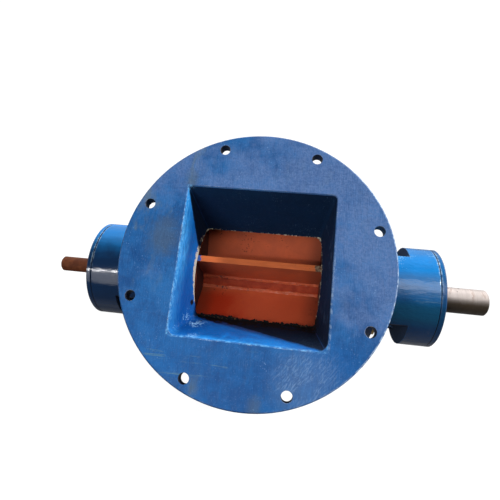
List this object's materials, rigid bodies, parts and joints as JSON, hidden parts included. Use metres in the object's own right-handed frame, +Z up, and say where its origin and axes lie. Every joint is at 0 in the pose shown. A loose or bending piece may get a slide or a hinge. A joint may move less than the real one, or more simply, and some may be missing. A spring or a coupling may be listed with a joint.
{
  "type": "rotary airlock valve",
  "caption": "Rotary airlock valve: square inlet and outlet in round bolted flanges, a vaned rotor on a through shaft, and ball bearings in brackets outboard of the end covers.",
  "frame": {"origin": "centre of the outlet flange's face, on which the valve stands", "axes": "+Z up through outlet and inlet, +X along the shaft to the drive end, +Y across the shaft"},
  "size_m": [0.704, 0.3598, 0.32],
  "materials": {
    "blue_paint": "brushed-on satin enamel",
    "red_oxide": "matt red-oxide primer",
    "shaft_steel": "turned, lightly rusted",
    "gasket_sheet": "matt",
    "packing_cord": "greased braid",
    "gland_brass": "machined",
    "fastener_steel": "zinc plated",
    "bearing_steel": "ground",
    "cage_brass": "pressed",
    "seal_rubber": "matt"
  },
  "bodies": {
    "housing": {"body": "blue_paint", "gasket_drive": "gasket_sheet", "gasket_idle": "gasket_sheet", "cover_drive": "blue_paint", "cover_idle": "blue_paint", "cover_bolts_drive": "fastener_steel", "cover_bolts_idle": "fastener_steel", "packing_drive": "packing_cord", "packing_idle": "packing_cord", "gland_drive": "gland_brass", "gland_idle": "gland_brass", "gland_studs_drive": "fastener_steel", "gland_studs_idle": "fastener_steel", "gland_nuts_drive": "fastener_steel", "gland_nuts_idle": "fastener_steel", "inner_seal_drive": "seal_rubber", "inner_seal_idle": "seal_rubber", "bearing_outer_drive": "bearing_steel", "bearing_outer_idle": "bearing_steel", "cap_drive": "blue_paint", "cap_idle": "blue_paint", "outer_seal_drive": "seal_rubber", "outer_seal_idle": "seal_rubber", "cap_screws_drive": "fastener_steel", "cap_screws_idle": "fastener_steel"},
    "rotor": {"shaft": "shaft_steel", "vane_1": "red_oxide", "vane_2": "red_oxide", "vane_3": "red_oxide", "vane_4": "red_oxide", "vane_5": "red_oxide", "vane_6": "red_oxide", "bearing_inner_drive": "bearing_steel", "bearing_inner_idle": "bearing_steel", "circlip_drive": "fastener_steel", "circlip_idle": "fastener_steel"},
    "cage_drive": {"bearing_cage_drive": "cage_brass", "bearing_balls_drive": "bearing_steel"},
    "cage_idle": {"bearing_cage_idle": "cage_brass", "bearing_balls_idle": "bearing_steel"}
  },
  "joints": [
    {"name": "rotor_spin", "type": "hinge", "parent": "housing", "child": "rotor", "pos_m": [0, 0, 0.16], "axis": [1, 0, 0], "continuous": true},
    {"name": "cage_drive_spin", "type": "hinge", "parent": "housing", "child": "cage_drive", "pos_m": [0.2425, 0, 0.16], "axis": [1, 0, 0], "continuous": true},
    {"name": "cage_idle_spin", "type": "hinge", "parent": "housing", "child": "cage_idle", "pos_m": [-0.2425, 0, 0.16], "axis": [1, 0, 0], "continuous": true}
  ],
  "couplings": [
    {"joint": "cage_drive_spin", "follows": "rotor_spin", "ratio": 0.4023},
    {"joint": "cage_idle_spin", "follows": "rotor_spin", "ratio": 0.4023}
  ]
}
